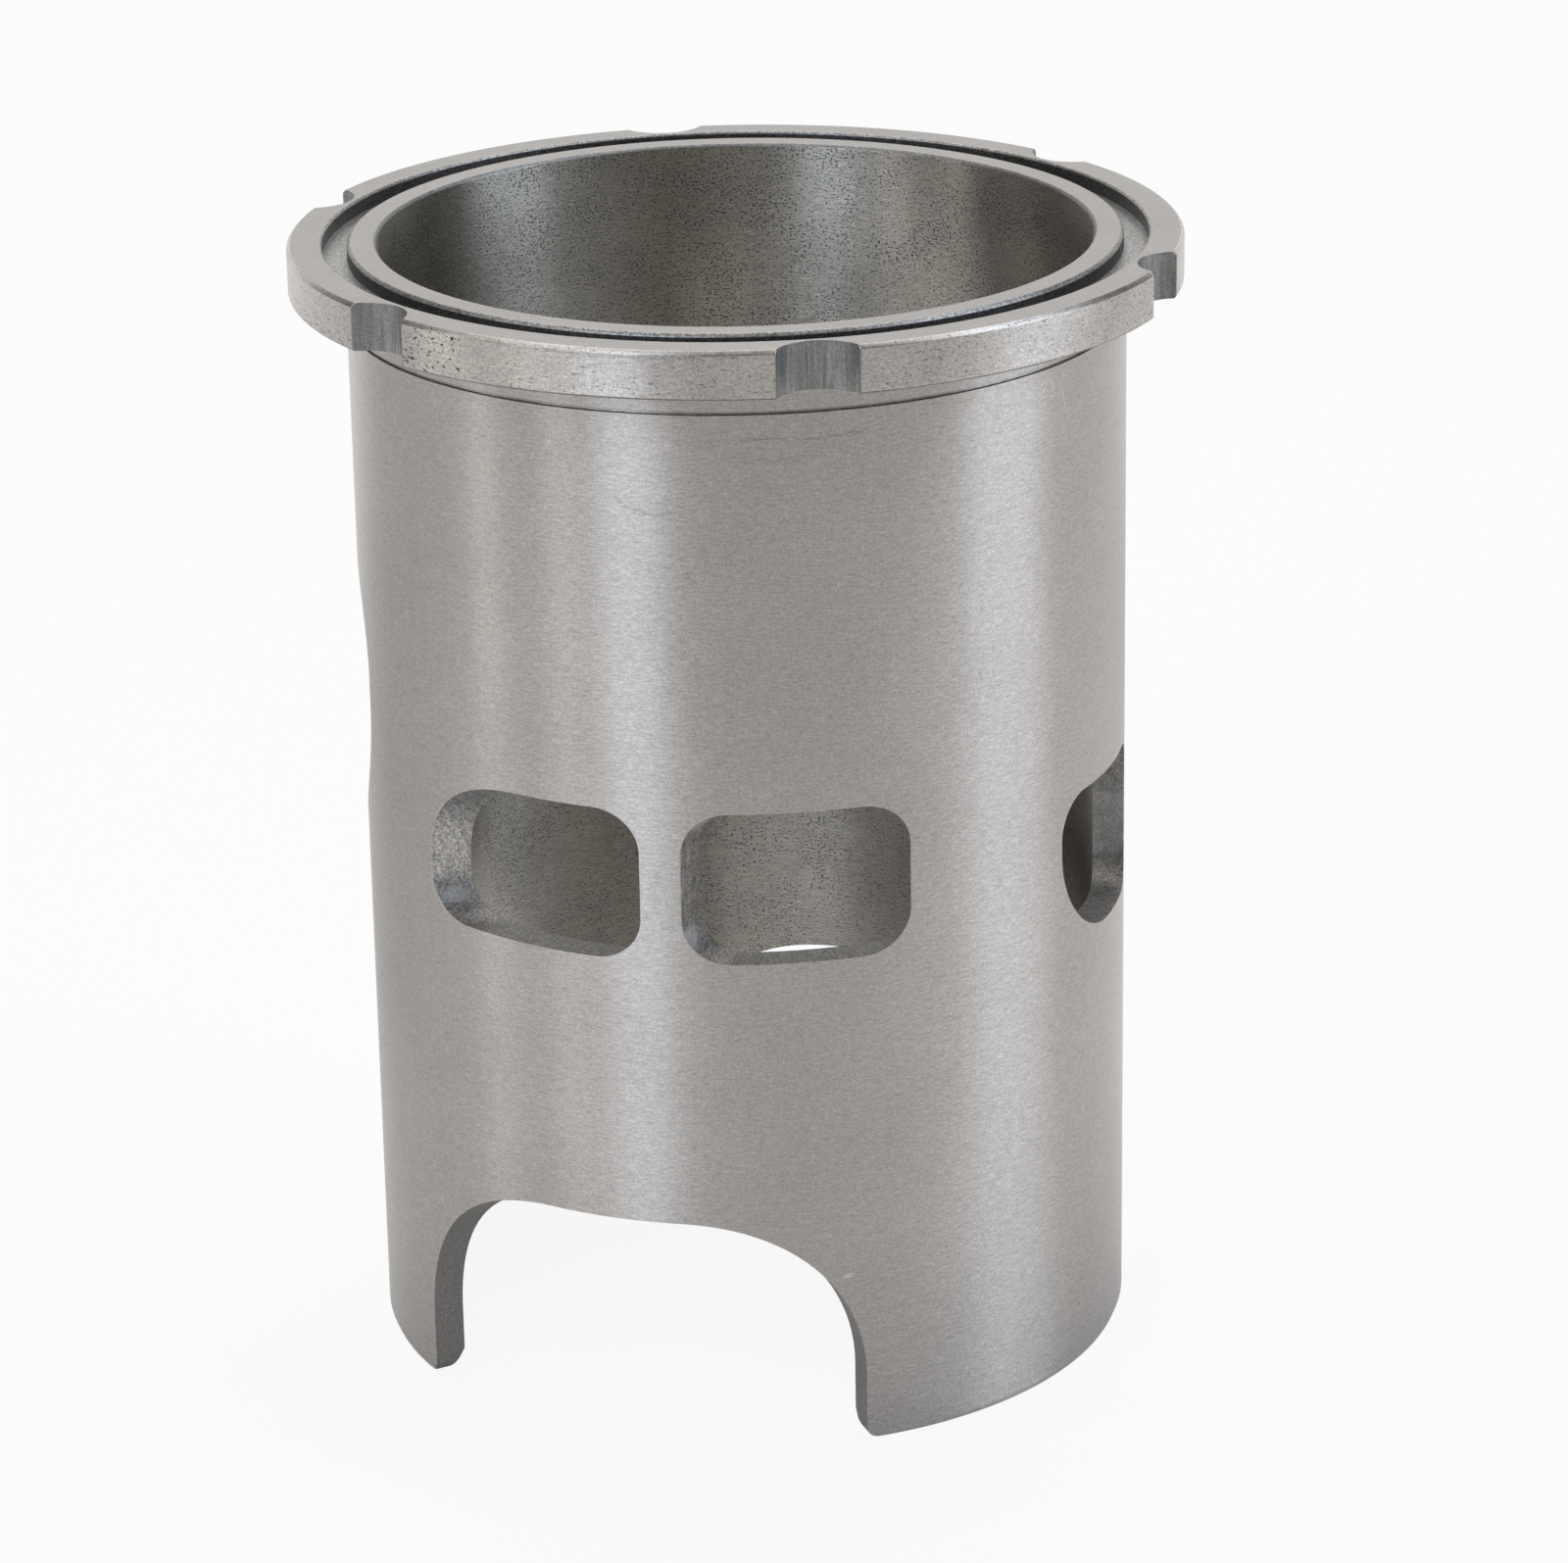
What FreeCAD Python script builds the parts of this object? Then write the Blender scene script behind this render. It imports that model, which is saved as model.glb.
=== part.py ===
import FreeCAD, Part
import math
import os

# Cylinder liner of a two-stroke engine, cast iron, one piece. Millimetres.
# The axis is Z. The liner stands on its skirt at Z = 0 and its flange is on top.
# -X is the exhaust side, +X the boost side, and the transfer ports are on -Y and +Y.
# Angles are in degrees about Z. Zero is -Y and they grow towards +X.

# Turned body
BORE_DIAMETER = 66.0
BARREL_DIAMETER = 72.0
LENGTH = 106.8
FLANGE_DIAMETER = 82.5
FLANGE_THICKNESS = 4.4

# Seal ring groove in the top face. The narrow ring inside it is flush with the face.
GROOVE_INNER_DIAMETER = 71.4
GROOVE_OUTER_DIAMETER = 76.0
GROOVE_DEPTH = 1.5
GROOVE_INNER_BREAK = 0.3
GROOVE_OUTER_BREAK = 0.2

# Narrow relief turned in the barrel under the flange
RELIEF_BELOW_FLANGE = 2.5
RELIEF_WIDTH = 0.3
RELIEF_DEPTH = 0.3

# Broken edges of the turned body, and the lead-in for the piston rings
RIM_TOP_BREAK = 0.35
RIM_FOOT_BREAK = 0.2
BORE_TOP_BREAK = 0.25
LEAD_IN_WIDTH = 1.3
LEAD_IN_HEIGHT = 2.0
SKIRT_BREAK = 0.2

# Notches in the flange rim for the cylinder studs. The first is over the boost port.
STUD_COUNT = 6
STUD_CIRCLE_DIAMETER = 85.3
STUD_NOTCH_DIAMETER = 8.0
FIRST_STUD_ANGLE = 90.0

# Transfer ports, two on each side, all with one floor and one roof height
TRANSFER_FLOOR = 48.4
TRANSFER_ROOF = 62.7
TRANSFER_CORNER = 4.0

# Main pair, next to the exhaust. Its side walls lean towards the boost side.
MAIN_START_ANGLE = -33.2
MAIN_END_ANGLE = 4.7
MAIN_START_LEAN = 67.0
MAIN_END_LEAN = 22.0
MAIN_LARGE_CORNER = 8.5

# Second pair, next to the boost port
SECOND_START_ANGLE = 10.8
SECOND_END_ANGLE = 44.3
SECOND_START_LEAN = 11.0
SECOND_END_LEAN = -10.0

# Boost port, cut straight in from +X
BOOST_ANGLE = 90.0
BOOST_WIDTH = 20.1
BOOST_FLOOR = 43.2
BOOST_ROOF = 57.9
BOOST_CORNER = 4.0
BOOST_LARGE_CORNER = 9.5

# Exhaust port, cut straight in from -X
EXHAUST_ANGLE = -90.0
EXHAUST_WIDTH = 41.3
EXHAUST_FLOOR = 48.4
EXHAUST_ROOF = 79.0
EXHAUST_FLOOR_CORNER = 16.0
EXHAUST_ROOF_CORNER = 12.0

# Skirt arches for the connecting rod, a little to the exhaust side of -Y and +Y. Their side
# walls run inwards, slightly closer together than lines to the axis.
ARCH_ANGLES = (-0.5, 180.5)
ARCH_HALF_ANGLE = 37.2
ARCH_WALL_CLOSING = 4.0
ARCH_HEIGHT = 22.7
ARCH_CORNER = 16.0
FOOT_CORNER = 1.3

# How far a cutter runs past what it cuts, and less far where it runs into the bore
OVERRUN = 3.0
BORE_OVERRUN = 1.0

# Share of a side wall's height that its corners may take
CORNER_SHARE = 0.96

BORE_RADIUS = BORE_DIAMETER / 2
BARREL_RADIUS = BARREL_DIAMETER / 2
FLANGE_RADIUS = FLANGE_DIAMETER / 2
FLANGE_FOOT = LENGTH - FLANGE_THICKNESS

ORIGIN = FreeCAD.Vector(0, 0, 0)
AXIS_Y = FreeCAD.Vector(0, 1, 0)
AXIS_Z = FreeCAD.Vector(0, 0, 1)


def polar(radius, angle):
    """Point of the plane Z = 0 at a radius and an angle."""
    turn = math.radians(angle)
    return FreeCAD.Vector(radius * math.sin(turn), -radius * math.cos(turn), 0)


def heading(lean):
    """Level direction that crosses from -Y to +Y and leans towards +X by an angle."""
    turn = math.radians(lean)
    return FreeCAD.Vector(math.sin(turn), math.cos(turn), 0)


def turned_body():
    """Barrel, flange and skirt as one revolved section, with its grooves and broken edges."""
    groove_inner = GROOVE_INNER_DIAMETER / 2
    groove_outer = GROOVE_OUTER_DIAMETER / 2
    groove_floor = LENGTH - GROOVE_DEPTH
    relief_radius = BARREL_RADIUS - RELIEF_DEPTH
    relief_roof = FLANGE_FOOT - RELIEF_BELOW_FLANGE
    relief_floor = relief_roof - RELIEF_WIDTH
    section = [
        (BORE_RADIUS + LEAD_IN_WIDTH, 0),
        (BARREL_RADIUS - SKIRT_BREAK, 0),
        (BARREL_RADIUS, SKIRT_BREAK),
        (BARREL_RADIUS, relief_floor),
        (relief_radius, relief_floor),
        (relief_radius, relief_roof),
        (BARREL_RADIUS, relief_roof),
        (BARREL_RADIUS, FLANGE_FOOT),
        (FLANGE_RADIUS - RIM_FOOT_BREAK, FLANGE_FOOT),
        (FLANGE_RADIUS, FLANGE_FOOT + RIM_FOOT_BREAK),
        (FLANGE_RADIUS, LENGTH - RIM_TOP_BREAK),
        (FLANGE_RADIUS - RIM_TOP_BREAK, LENGTH),
        (groove_outer + GROOVE_OUTER_BREAK, LENGTH),
        (groove_outer, LENGTH - GROOVE_OUTER_BREAK),
        (groove_outer, groove_floor),
        (groove_inner, groove_floor),
        (groove_inner, LENGTH - GROOVE_INNER_BREAK),
        (groove_inner - GROOVE_INNER_BREAK, LENGTH),
        (BORE_RADIUS + BORE_TOP_BREAK, LENGTH),
        (BORE_RADIUS, LENGTH - BORE_TOP_BREAK),
        (BORE_RADIUS, LEAD_IN_HEIGHT),
    ]
    points = [FreeCAD.Vector(radius, 0, height) for radius, height in section]
    outline = Part.makePolygon(points + points[:1])
    return Part.Face(outline).revolve(ORIGIN, AXIS_Z, 360)


def stud_notches():
    """Upright cylinders that cut the stud notches out of the flange rim."""
    height = FLANGE_THICKNESS + 2 * OVERRUN
    notches = []
    for index in range(STUD_COUNT):
        angle = FIRST_STUD_ANGLE + index * 360 / STUD_COUNT
        foot = polar(STUD_CIRCLE_DIAMETER / 2, angle)
        foot.z = FLANGE_FOOT - OVERRUN
        notches.append(Part.makeCylinder(STUD_NOTCH_DIAMETER / 2, height, foot, AXIS_Z))
    return notches


def wall_line(angle, lean):
    """Ends of a port's side wall in plan, well outside the barrel and just inside the bore.

    The wall meets the barrel at an angle about Z and runs inwards with its own lean.
    """
    mouth = polar(BARREL_RADIUS, angle)
    inward = heading(lean)
    depth = mouth.dot(inward)
    to_bore = -depth - math.sqrt(depth ** 2 - BARREL_RADIUS ** 2 + BORE_RADIUS ** 2)
    return mouth - inward * BARREL_RADIUS, mouth + inward * (to_bore + BORE_OVERRUN)


def prism(plan, low, high):
    """Upright block on an outline in plan, from one height to another."""
    lift = AXIS_Z * low
    outline = Part.makePolygon([point + lift for point in [*plan, plan[0]]])
    return Part.Face(outline).extrude(AXIS_Z * (high - low))


def rounded(cutter, wall, height, corner):
    """Cutter with one corner rounded, along the edge where a side wall ends at a height."""
    middle = (wall[0] + wall[1]) / 2 + AXIS_Z * height
    edge = min(cutter.Edges, key=lambda item: item.CenterOfMass.distanceToPoint(middle))
    return cutter.makeFillet(corner, [edge])


def port(start, end, floor, roof, start_corners, end_corners):
    """Cutter of a port with a level floor and roof and two upright side walls.

    Each side wall is an angle and a lean. Its two corner radii, at the floor and at the roof,
    run along the wall, and are limited by the wall's height.
    """
    walls = [wall_line(*start), wall_line(*end)]
    cutter = prism([*walls[0], *reversed(walls[1])], floor, roof)
    for wall, corners in zip(walls, (start_corners, end_corners)):
        share = min(1, CORNER_SHARE * (roof - floor) / sum(corners))
        for height, corner in zip((floor, roof), corners):
            cutter = rounded(cutter, wall, height, corner * share)
    return cutter


def straight_port(middle, width, floor, roof, start_corners, end_corners):
    """Cutter of a port whose side walls are parallel, centred on an angle about Z."""
    half = math.degrees(math.asin(width / 2 / BARREL_RADIUS))
    walls = [(middle - half, -middle), (middle + half, -middle)]
    return port(*walls, floor, roof, start_corners, end_corners)


def transfer_ports():
    """Cutters of the two transfer ports on -Y and of their mirror images on +Y."""
    plain = (TRANSFER_CORNER, TRANSFER_CORNER)
    main = port(
        (MAIN_START_ANGLE, MAIN_START_LEAN),
        (MAIN_END_ANGLE, MAIN_END_LEAN),
        TRANSFER_FLOOR,
        TRANSFER_ROOF,
        (TRANSFER_CORNER, MAIN_LARGE_CORNER),
        plain,
    )
    second = port(
        (SECOND_START_ANGLE, SECOND_START_LEAN),
        (SECOND_END_ANGLE, SECOND_END_LEAN),
        TRANSFER_FLOOR,
        TRANSFER_ROOF,
        plain,
        plain,
    )
    return [main, second, main.mirror(ORIGIN, AXIS_Y), second.mirror(ORIGIN, AXIS_Y)]


def boost_port():
    """Cutter of the boost port, which has one larger corner at its floor."""
    near = (BOOST_LARGE_CORNER, BOOST_CORNER)
    far = (BOOST_CORNER, BOOST_CORNER)
    return straight_port(BOOST_ANGLE, BOOST_WIDTH, BOOST_FLOOR, BOOST_ROOF, near, far)


def exhaust_port():
    """Cutter of the wide and tall exhaust port."""
    side = (EXHAUST_FLOOR_CORNER, EXHAUST_ROOF_CORNER)
    return straight_port(EXHAUST_ANGLE, EXHAUST_WIDTH, EXHAUST_FLOOR, EXHAUST_ROOF, side, side)


def arch_half(middle, side):
    """Cutter of half a skirt arch, on one side (-1 or 1) of its middle.

    Its outline has the arch's roof corner and the leg's foot corner. It runs inwards along the
    side wall, and reaches a little past the middle of the arch.
    """
    angle = middle + side * ARCH_HALF_ANGLE
    run = heading(-angle - side * ARCH_WALL_CLOSING)
    start = polar(BARREL_RADIUS, angle) - run * BARREL_RADIUS
    away = AXIS_Z.cross(run) * side
    reach = (polar(BARREL_RADIUS, middle) - start).dot(away) + OVERRUN
    length = (polar(BORE_RADIUS, middle) - start).dot(run) + OVERRUN
    corner = min(ARCH_CORNER, CORNER_SHARE * (ARCH_HEIGHT - FOOT_CORNER))

    def at(across, up):
        return start + away * across + AXIS_Z * up

    spring = ARCH_HEIGHT - corner
    bow = 1 - math.sqrt(0.5)
    roof_corner = Part.Arc(
        at(0, spring),
        at(bow * corner, ARCH_HEIGHT - bow * corner),
        at(corner, ARCH_HEIGHT),
    )
    foot_corner = Part.Arc(
        at(-FOOT_CORNER, 0),
        at(-bow * FOOT_CORNER, bow * FOOT_CORNER),
        at(0, FOOT_CORNER),
    )
    wall = Part.makeLine(at(0, FOOT_CORNER), at(0, spring))
    rest = Part.makePolygon(
        [
            at(corner, ARCH_HEIGHT),
            at(reach, ARCH_HEIGHT),
            at(reach, -OVERRUN),
            at(-FOOT_CORNER, -OVERRUN),
            at(-FOOT_CORNER, 0),
        ]
    )
    outline = Part.Wire([foot_corner.toShape(), wall, roof_corner.toShape(), *rest.Edges])
    return Part.Face(outline).extrude(run * length)


def liner():
    """The whole liner: the turned body with its notches, ports and arches cut out."""
    body = turned_body()
    body = body.cut([*stud_notches(), *transfer_ports(), boost_port(), exhaust_port()])
    for middle in ARCH_ANGLES:
        for side in (-1, 1):
            body = body.cut(arch_half(middle, side))
    return body.removeSplitter().Solids[0]


os.makedirs("parts", exist_ok=True)
liner().exportStep("parts/liner.step")
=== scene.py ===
"""Cylinder liner of a two-stroke engine, shown on a pale floor in studio light.

The CAD solid is replaced by one fine mesh of the same sizes: a turned blank, cut by its stud
notches, ports and skirt arches, with broken edges and a finish for each machined surface.
"""

import enum
import logging
import math
from dataclasses import dataclass, field

import bpy
from mathutils import Matrix, Vector


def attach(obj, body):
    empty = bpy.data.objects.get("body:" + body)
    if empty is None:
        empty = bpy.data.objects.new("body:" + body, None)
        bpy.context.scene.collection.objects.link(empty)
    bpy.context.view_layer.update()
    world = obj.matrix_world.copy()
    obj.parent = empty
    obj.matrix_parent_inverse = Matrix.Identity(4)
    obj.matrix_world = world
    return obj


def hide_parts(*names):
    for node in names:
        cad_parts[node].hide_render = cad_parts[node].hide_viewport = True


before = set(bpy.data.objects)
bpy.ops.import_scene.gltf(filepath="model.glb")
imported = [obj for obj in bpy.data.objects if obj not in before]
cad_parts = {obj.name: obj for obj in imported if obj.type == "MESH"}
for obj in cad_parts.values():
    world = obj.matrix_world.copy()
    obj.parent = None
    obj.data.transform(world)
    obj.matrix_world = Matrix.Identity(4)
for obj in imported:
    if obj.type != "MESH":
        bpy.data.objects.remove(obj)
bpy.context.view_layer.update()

MM = 0.001
LOG = logging.getLogger("liner")

Piece = bpy.types.Object
Socket = bpy.types.NodeSocket
Point = tuple[float, float, float]
Colour = tuple[float, float, float]
Tint = Colour | Socket
Pair = tuple[float, float]
Span = tuple[float, float, float, float]

# Radius on which the grain map unrolls the turned surfaces, in metres.
UNROLL_RADIUS = 0.036

# Points of a spun solid that are closer than this are one point, in metres.
SPIN_WELD = 1e-6

# Cutters start this far outside the barrel, and those of the ports end this far past the bore's
# wall, in millimetres.
CUTTER_LEAD = 12.0
CUTTER_REACH = 1.0

# Values between which most of a noise lies.
NOISE_MIDDLE = (0.3, 0.7)

SMUDGE: Colour = (0.12, 0.115, 0.11)
# Pale colour of scratches, and of a painted highlight on a port wall.
SCRATCH_AND_SHEEN: Colour = (0.9, 0.9, 0.9)
GRAPHITE: Colour = (0.045, 0.042, 0.04)


class Surface(enum.IntEnum):
    """Kinds of surface on the liner, in the order of its material slots."""

    BARREL = 0
    BORE = 1
    DECK = 2
    RIM = 3
    PORT = 4
    ARCH = 5
    NOTCH = 6
    GROOVE = 7
    EDGE = 8


def polar(radius: float, angle: float, height: float = 0.0) -> Vector:
    """Point at a radius and an angle about Z, where zero is -Y and angles grow towards +X.

    Args:
        radius: distance from the axis.
        angle: angle in degrees.
        height: height above the floor.

    Returns:
        The point, in the unit of the arguments.
    """
    turn = math.radians(angle)
    return Vector((radius * math.sin(turn), -radius * math.cos(turn), height))


def heading(lean: float) -> Vector:
    """Level direction that crosses from -Y to +Y and leans towards +X by an angle.

    Args:
        lean: angle in degrees.

    Returns:
        The unit direction.
    """
    turn = math.radians(lean)
    return Vector((math.sin(turn), math.cos(turn), 0.0))


def deselect() -> None:
    """Leaves no object selected, so that an operator acts on new work only."""
    if bpy.context.object is not None and bpy.context.object.mode != "OBJECT":
        bpy.ops.object.mode_set(mode="OBJECT")
    bpy.ops.object.select_all(action="DESELECT")


def take_up(piece: Piece) -> None:
    """Makes one object the selected and active one.

    Args:
        piece: the object.
    """
    deselect()
    piece.select_set(True)
    bpy.context.view_layer.objects.active = piece


def apply_modifiers(piece: Piece) -> None:
    """Applies all modifiers of an object, in their order.

    Args:
        piece: the object.
    """
    take_up(piece)
    for modifier in list(piece.modifiers):
        bpy.ops.object.modifier_apply(modifier=modifier.name)


@dataclass(frozen=True)
class Outline:
    """Closed outline that is swept into a solid."""

    name: str
    points: tuple[Point, ...]

    def ring(self, filled: bool) -> Piece:
        """Adds a circle with one corner for each point and puts the corners in their places.

        Args:
            filled: whether the outline gets a face.

        Returns:
            The outline as an object at the origin.
        """
        deselect()
        fill = "NGON" if filled else "NOTHING"
        bpy.ops.mesh.primitive_circle_add(vertices=len(self.points), radius=1.0, fill_type=fill)
        piece = bpy.context.object
        piece.name = self.name
        for vertex, point in zip(piece.data.vertices, self.points):
            vertex.co = point
        piece.data.update()
        return piece

    def extruded(self, step: Vector) -> Piece:
        """Fills the outline and extrudes it.

        Args:
            step: direction and length of the extrusion.

        Returns:
            The closed solid.
        """
        piece = self.ring(filled=True)
        bpy.ops.object.mode_set(mode="EDIT")
        bpy.ops.mesh.select_all(action="SELECT")
        bpy.ops.mesh.extrude_region_move(TRANSFORM_OT_translate={"value": step})
        bpy.ops.mesh.select_all(action="SELECT")
        bpy.ops.mesh.normals_make_consistent(inside=False)
        bpy.ops.object.mode_set(mode="OBJECT")
        return piece

    def spun(self, steps: int) -> Piece:
        """Spins the outline once about Z.

        Args:
            steps: number of steps in the full turn.

        Returns:
            The closed solid.
        """
        piece = self.ring(filled=False)
        bpy.ops.object.mode_set(mode="EDIT")
        bpy.ops.mesh.select_all(action="SELECT")
        bpy.ops.mesh.spin(
            steps=steps, angle=2 * math.pi, use_auto_merge=True, center=(0, 0, 0), axis=(0, 0, 1)
        )
        bpy.ops.mesh.select_all(action="SELECT")
        bpy.ops.mesh.remove_doubles(threshold=SPIN_WELD)
        bpy.ops.mesh.normals_make_consistent(inside=False)
        bpy.ops.object.mode_set(mode="OBJECT")
        return piece


@dataclass(frozen=True)
class TurnedBlank:
    """Barrel, flange and skirt as they leave the lathe.

    Sizes are in millimetres, and the angle at which the spin starts is in degrees.
    """

    bore_radius: float = 33.0
    barrel_radius: float = 36.0
    flange_radius: float = 41.25
    length: float = 106.8
    flange_foot: float = 102.4
    groove_inner: float = 35.7
    groove_outer: float = 38.0
    groove_floor: float = 105.3
    groove_inner_break: float = 0.3
    groove_outer_break: float = 0.2
    relief_roof: float = 99.9
    relief_floor: float = 99.6
    relief_radius: float = 35.7
    rim_top_break: float = 0.35
    rim_foot_break: float = 0.2
    bore_top_break: float = 0.25
    lead_in_width: float = 1.3
    lead_in_height: float = 2.0
    skirt_break: float = 0.3
    skirt_break_height: float = 0.75
    steps: int = 360
    first_angle: float = 90.5

    def section(self) -> list[Pair]:
        """Lists the corners of the turned section, from the lead-in's foot outwards and up.

        Returns:
            The radius and the height of each corner.
        """
        return [
            (self.bore_radius + self.lead_in_width, 0.0),
            (self.barrel_radius - self.skirt_break, 0.0),
            (self.barrel_radius, self.skirt_break_height),
            (self.barrel_radius, self.relief_floor),
            (self.relief_radius, self.relief_floor),
            (self.relief_radius, self.relief_roof),
            (self.barrel_radius, self.relief_roof),
            (self.barrel_radius, self.flange_foot),
            (self.flange_radius - self.rim_foot_break, self.flange_foot),
            (self.flange_radius, self.flange_foot + self.rim_foot_break),
            (self.flange_radius, self.length - self.rim_top_break),
            (self.flange_radius - self.rim_top_break, self.length),
            (self.groove_outer + self.groove_outer_break, self.length),
            (self.groove_outer, self.length - self.groove_outer_break),
            (self.groove_outer, self.groove_floor),
            (self.groove_inner, self.groove_floor),
            (self.groove_inner, self.length - self.groove_inner_break),
            (self.groove_inner - self.groove_inner_break, self.length),
            (self.bore_radius + self.bore_top_break, self.length),
            (self.bore_radius, self.length - self.bore_top_break),
            (self.bore_radius, self.lead_in_height),
        ]

    def make(self) -> Piece:
        """Spins the section.

        It starts at an angle that keeps the edges between the spun faces away from the upright
        edges of the ports and arches, because a bevel folds a face that is narrower than itself.

        Returns:
            The blank as a closed mesh.
        """
        points = tuple(
            tuple(polar(radius, self.first_angle, height) * MM)
            for radius, height in self.section()
        )
        return Outline("liner_body", points).spun(self.steps)


@dataclass(frozen=True)
class StudNotches:
    """Round notches in the flange rim, one for each cylinder stud.

    Sizes are in millimetres, and the first notch's angle is in degrees.
    """

    count: int = 6
    first_angle: float = 90.0
    circle_radius: float = 42.65
    radius: float = 4.0
    low: float = 100.0
    high: float = 109.0
    facets: int = 72

    def make(self) -> list[Piece]:
        """Makes the cutters.

        Returns:
            One cutter for each notch.
        """
        cutters = []
        for index in range(self.count):
            deselect()
            angle = self.first_angle + index * 360 / self.count
            place = polar(self.circle_radius, angle, (self.low + self.high) / 2) * MM
            bpy.ops.mesh.primitive_cylinder_add(
                vertices=self.facets,
                radius=self.radius * MM,
                depth=(self.high - self.low) * MM,
                location=place,
            )
            bpy.ops.object.transform_apply(location=True, rotation=False, scale=False)
            cutters.append(bpy.context.object)
        return cutters


@dataclass(frozen=True)
class PortWall:
    """Upright side wall of a port: where it meets the barrel, its lean and its two corners.

    Angles are in degrees, and the corners' radii are in millimetres.
    """

    angle: float
    lean: float
    floor_corner: float
    roof_corner: float

    def line(self, blank: TurnedBlank) -> tuple[Vector, Vector]:
        """Ends of the wall in plan, outside the barrel and just inside the bore.

        Args:
            blank: the turned blank that the wall is cut into.

        Returns:
            The outer and the inner end, in millimetres.
        """
        mouth = polar(blank.barrel_radius, self.angle)
        inward = heading(self.lean)
        depth = mouth.dot(inward)
        gap = depth**2 - blank.barrel_radius**2 + blank.bore_radius**2
        reach = CUTTER_REACH - depth - math.sqrt(gap)
        return mouth - inward * CUTTER_LEAD, mouth + inward * reach


@dataclass(frozen=True)
class Port:
    """Port with a level floor and roof between two side walls, in millimetres."""

    name: str
    start: PortWall
    end: PortWall
    floor: float
    roof: float
    facets: int = 14

    def mirrored(self) -> "Port":
        """Mirrors the port in the plane Y = 0.

        Returns:
            The port on the other side.
        """
        start, end = (
            PortWall(180.0 - wall.angle, 180.0 - wall.lean, wall.floor_corner, wall.roof_corner)
            for wall in (self.end, self.start)
        )
        return Port(self.name + "_back", start, end, self.floor, self.roof, self.facets)

    def make(self, blank: TurnedBlank) -> Piece:
        """Makes the cutter from a cube, whose four long edges are bevelled into the corners.

        Args:
            blank: the turned blank that the port is cut into.

        Returns:
            The cutter.
        """
        walls = (self.start, self.end)
        lines = [wall.line(blank) for wall in walls]
        deselect()
        bpy.ops.mesh.primitive_cube_add(size=2.0)
        piece = bpy.context.object
        piece.name = "cutter_" + self.name
        for vertex in piece.data.vertices:
            place = lines[int(vertex.co.x > 0)][int(vertex.co.y > 0)]
            level = self.roof if vertex.co.z > 0 else self.floor
            vertex.co = Vector((place.x, place.y, level)) * MM
        for wall, (outer, inner) in zip(walls, lines):
            middle = (outer + inner) / 2
            for level, corner in ((self.floor, wall.floor_corner), (self.roof, wall.roof_corner)):
                self.round_edge(piece, Vector((middle.x, middle.y, level)) * MM, corner * MM)
        bpy.ops.object.mode_set(mode="EDIT")
        bpy.ops.mesh.select_all(action="SELECT")
        bpy.ops.mesh.normals_make_consistent(inside=False)
        bpy.ops.object.mode_set(mode="OBJECT")
        return piece

    def round_edge(self, piece: Piece, middle: Vector, radius: float) -> None:
        """Bevels the one edge of a cutter whose middle is nearest to a point.

        Args:
            piece: the cutter.
            middle: the point, in metres.
            radius: corner radius, in metres.
        """
        take_up(piece)
        mesh = piece.data
        for group in (mesh.vertices, mesh.edges, mesh.polygons):
            group.foreach_set("select", [False] * len(group))

        def distance(edge: bpy.types.MeshEdge) -> float:
            """Returns how far an edge's middle is from the point."""
            first, second = (mesh.vertices[index].co for index in edge.vertices)
            return ((first + second) / 2 - middle).length

        nearest = min(mesh.edges, key=distance)
        nearest.select = True
        for index in nearest.vertices:
            mesh.vertices[index].select = True
        bpy.ops.object.mode_set(mode="EDIT")
        bpy.ops.mesh.select_mode(type="EDGE")
        bpy.ops.mesh.bevel(
            offset=radius, offset_type="OFFSET", segments=self.facets, affect="EDGES"
        )
        bpy.ops.object.mode_set(mode="OBJECT")


@dataclass(frozen=True)
class SkirtArch:
    """Arch in the skirt that the connecting rod swings through.

    Sizes are in millimetres and angles in degrees. Each leg's wall runs inwards, turned by the
    closing angle from the line to the axis. The halves overrun the middle, the bore and the foot.
    """

    middle: float
    half_angle: float = 37.2
    closing: float = 4.0
    height: float = 22.7
    corner: float = 16.0
    foot_corner: float = 1.3
    overrun: float = 3.0
    facets: int = 24
    foot_facets: int = 6

    def half(self, blank: TurnedBlank, side: int) -> Piece:
        """Makes the cutter of one half, which runs inwards along that half's side wall.

        Args:
            blank: the turned blank that the arch is cut into.
            side: -1 or 1, for the half before or after the middle.

        Returns:
            The cutter.
        """
        angle = self.middle + side * self.half_angle
        run = heading(-angle - side * self.closing)
        start = polar(blank.barrel_radius, angle) - run * CUTTER_LEAD
        away = Vector((0, 0, 1)).cross(run) * side
        reach = (polar(blank.barrel_radius, self.middle) - start).dot(away) + self.overrun
        length = (polar(blank.bore_radius, self.middle) - start).dot(run) + self.overrun
        outline = []
        for step in range(self.foot_facets + 1):
            turn = math.radians(90 * step / self.foot_facets)
            across = self.foot_corner * (math.sin(turn) - 1)
            outline.append((across, self.foot_corner * (1 - math.cos(turn))))
        spring = self.height - self.corner
        for step in range(self.facets + 1):
            turn = math.radians(90 * step / self.facets)
            across = self.corner * (1 - math.cos(turn))
            outline.append((across, spring + self.corner * math.sin(turn)))
        outline += [(reach, self.height), (reach, -self.overrun)]
        outline += [(-self.foot_corner, -self.overrun)]
        points = tuple(
            tuple((start + away * across + Vector((0, 0, up))) * MM) for across, up in outline
        )
        return Outline(f"cutter_arch_{side}", points).extruded(run * (length * MM))

    def make(self, blank: TurnedBlank) -> list[Piece]:
        """Returns the cutters of both halves, for the blank that the arch is cut into."""
        return [self.half(blank, side) for side in (-1, 1)]


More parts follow.
